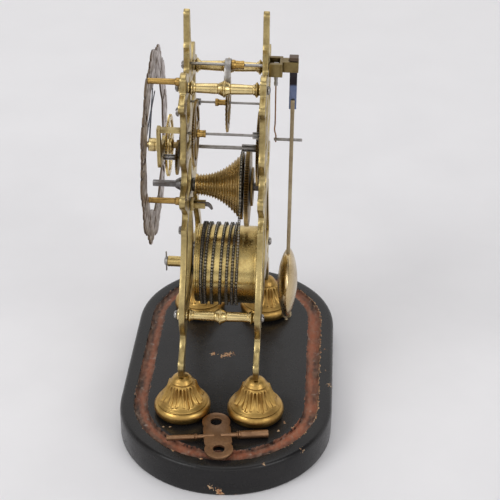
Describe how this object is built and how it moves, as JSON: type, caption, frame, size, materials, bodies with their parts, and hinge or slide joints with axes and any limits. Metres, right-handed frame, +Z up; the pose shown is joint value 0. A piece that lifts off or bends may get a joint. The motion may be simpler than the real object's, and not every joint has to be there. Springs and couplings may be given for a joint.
{
  "type": "skeleton clock",
  "caption": "Mantel skeleton clock with a fusee and chain, pierced plates and chapter ring, a pendulum, an ebonised wood base with a dome groove, and its winding key.",
  "frame": {"origin": "centre of the base's underside", "axes": "+Z up, -Y out of the dial towards the person reading it, +X to the reader's right"},
  "size_m": [0.322, 0.191, 0.374],
  "materials": {
    "brass": "old lacquered brass, polished and slightly tarnished",
    "steel": "plain grey steel, turned and filed",
    "chain_steel": "dark oiled steel links",
    "blued_steel": "heat blued spring steel",
    "silvered": "silvered brass, worn to a brown edge",
    "black_wood": "ebonised wood, scuffed, with a bare reddish groove",
    "bronze": "brown patinated bronze"
  },
  "bodies": {
    "frame": {"base_board": "black_wood", "foot_front_right": "brass", "foot_front_left": "brass", "foot_rear_right": "brass", "foot_rear_left": "brass", "front_plate": "brass", "rear_plate": "brass", "pillar_upper_right": "brass", "pillar_upper_left": "brass", "pillar_lower_right": "brass", "pillar_lower_left": "brass", "screw_upper_right_front": "steel", "screw_upper_right_rear": "steel", "screw_upper_left_front": "steel", "screw_upper_left_rear": "steel", "screw_lower_right_front": "steel", "screw_lower_right_rear": "steel", "screw_lower_left_front": "steel", "screw_lower_left_rear": "steel", "dial_ring": "silvered", "dial_foot_upper": "brass", "dial_foot_right": "brass", "dial_foot_left": "brass", "motion_bridge": "brass", "barrel_sleeve": "brass", "chain_run": "chain_steel", "stop_work_block": "brass", "back_cock": "brass", "suspension_block": "brass"},
    "centre": {"centre_arbor": "steel", "centre_wheel": "brass", "cannon_wheel": "brass", "minute_hand": "blued_steel"},
    "great": {"great_wheel": "brass"},
    "fusee": {"fusee_cone": "brass", "fusee_arbor": "steel", "fusee_cap": "brass"},
    "barrel": {"barrel_drum": "brass", "barrel_cover": "brass", "mainspring": "blued_steel", "chain_turns": "chain_steel"},
    "barrel_core": {"barrel_arbor": "steel", "setup_ratchet": "steel"},
    "click": {"barrel_click": "steel"},
    "third": {"third_arbor": "steel", "third_wheel": "brass"},
    "escape": {"escape_arbor": "steel", "escape_wheel": "brass"},
    "pallets": {"pallet_arbor": "steel", "anchor": "steel", "crutch": "steel"},
    "pendulum": {"pendulum_spring": "blued_steel", "pendulum_rod": "brass", "pendulum_bob": "brass", "rating_nut": "brass"},
    "minute": {"minute_wheel": "brass"},
    "hour": {"hour_wheel": "brass", "hour_hand": "brass"},
    "stop": {"stop_lever": "steel"},
    "key": {"winding_key": "bronze"}
  },
  "joints": [
    {"name": "centre_turn", "type": "hinge", "parent": "frame", "child": "centre", "pos_m": [0, 0, 0.25], "axis": [0, 1, 0], "continuous": true},
    {"name": "great_turn", "type": "hinge", "parent": "frame", "child": "great", "pos_m": [0, 0, 0.2128], "axis": [0, 1, 0], "continuous": true},
    {"name": "third_turn", "type": "hinge", "parent": "frame", "child": "third", "pos_m": [0.024, 0, 0.274], "axis": [0, 1, 0], "continuous": true},
    {"name": "escape_turn", "type": "hinge", "parent": "frame", "child": "escape", "pos_m": [0, 0, 0.292], "axis": [0, 1, 0], "continuous": true},
    {"name": "minute_turn", "type": "hinge", "parent": "frame", "child": "minute", "pos_m": [0.028, 0, 0.253], "axis": [0, 1, 0], "continuous": true},
    {"name": "hour_turn", "type": "hinge", "parent": "frame", "child": "hour", "pos_m": [0, 0, 0.25], "axis": [0, 1, 0], "continuous": true},
    {"name": "fusee_wind", "type": "hinge", "parent": "great", "child": "fusee", "pos_m": [0, 0, 0.2128], "axis": [0, -1, 0], "range_deg": [0, 5760]},
    {"name": "barrel_turn", "type": "hinge", "parent": "frame", "child": "barrel", "pos_m": [0, 0, 0.133], "axis": [0, -1, 0], "range_deg": [0, 2640]},
    {"name": "setup_turn", "type": "hinge", "parent": "frame", "child": "barrel_core", "pos_m": [0, 0, 0.133], "axis": [0, 1, 0], "continuous": true},
    {"name": "click_lift", "type": "hinge", "parent": "frame", "child": "click", "pos_m": [0.003, 0, 0.153], "axis": [0, -1, 0], "range_deg": [0, 12]},
    {"name": "stop_lever_lift", "type": "hinge", "parent": "frame", "child": "stop", "pos_m": [0.021, -0.025, 0.205], "axis": [1, 0, 0], "range_deg": [0, 6]},
    {"name": "pendulum_swing", "type": "hinge", "parent": "frame", "child": "pendulum", "pos_m": [0, 0, 0.3265], "axis": [0, 1, 0], "range_deg": [-2.5, 2.5]},
    {"name": "pallet_rock", "type": "hinge", "parent": "frame", "child": "pallets", "pos_m": [0, 0, 0.3265], "axis": [0, 1, 0], "range_deg": [-2.5, 2.5]},
    {"name": "key_lift", "type": "slide", "parent": "frame", "child": "key", "axis": [0, 0, 1], "range_m": [0, 0.06]}
  ],
  "couplings": [
    {"joint": "great_turn", "follows": "centre_turn", "ratio": -0.083333},
    {"joint": "third_turn", "follows": "centre_turn", "ratio": -12},
    {"joint": "escape_turn", "follows": "centre_turn", "ratio": 128.57},
    {"joint": "minute_turn", "follows": "centre_turn", "ratio": -1},
    {"joint": "hour_turn", "follows": "centre_turn", "ratio": 0.083333},
    {"joint": "barrel_turn", "follows": "fusee_wind", "ratio": 0.457},
    {"joint": "pallet_rock", "follows": "pendulum_swing", "ratio": 1}
  ]
}
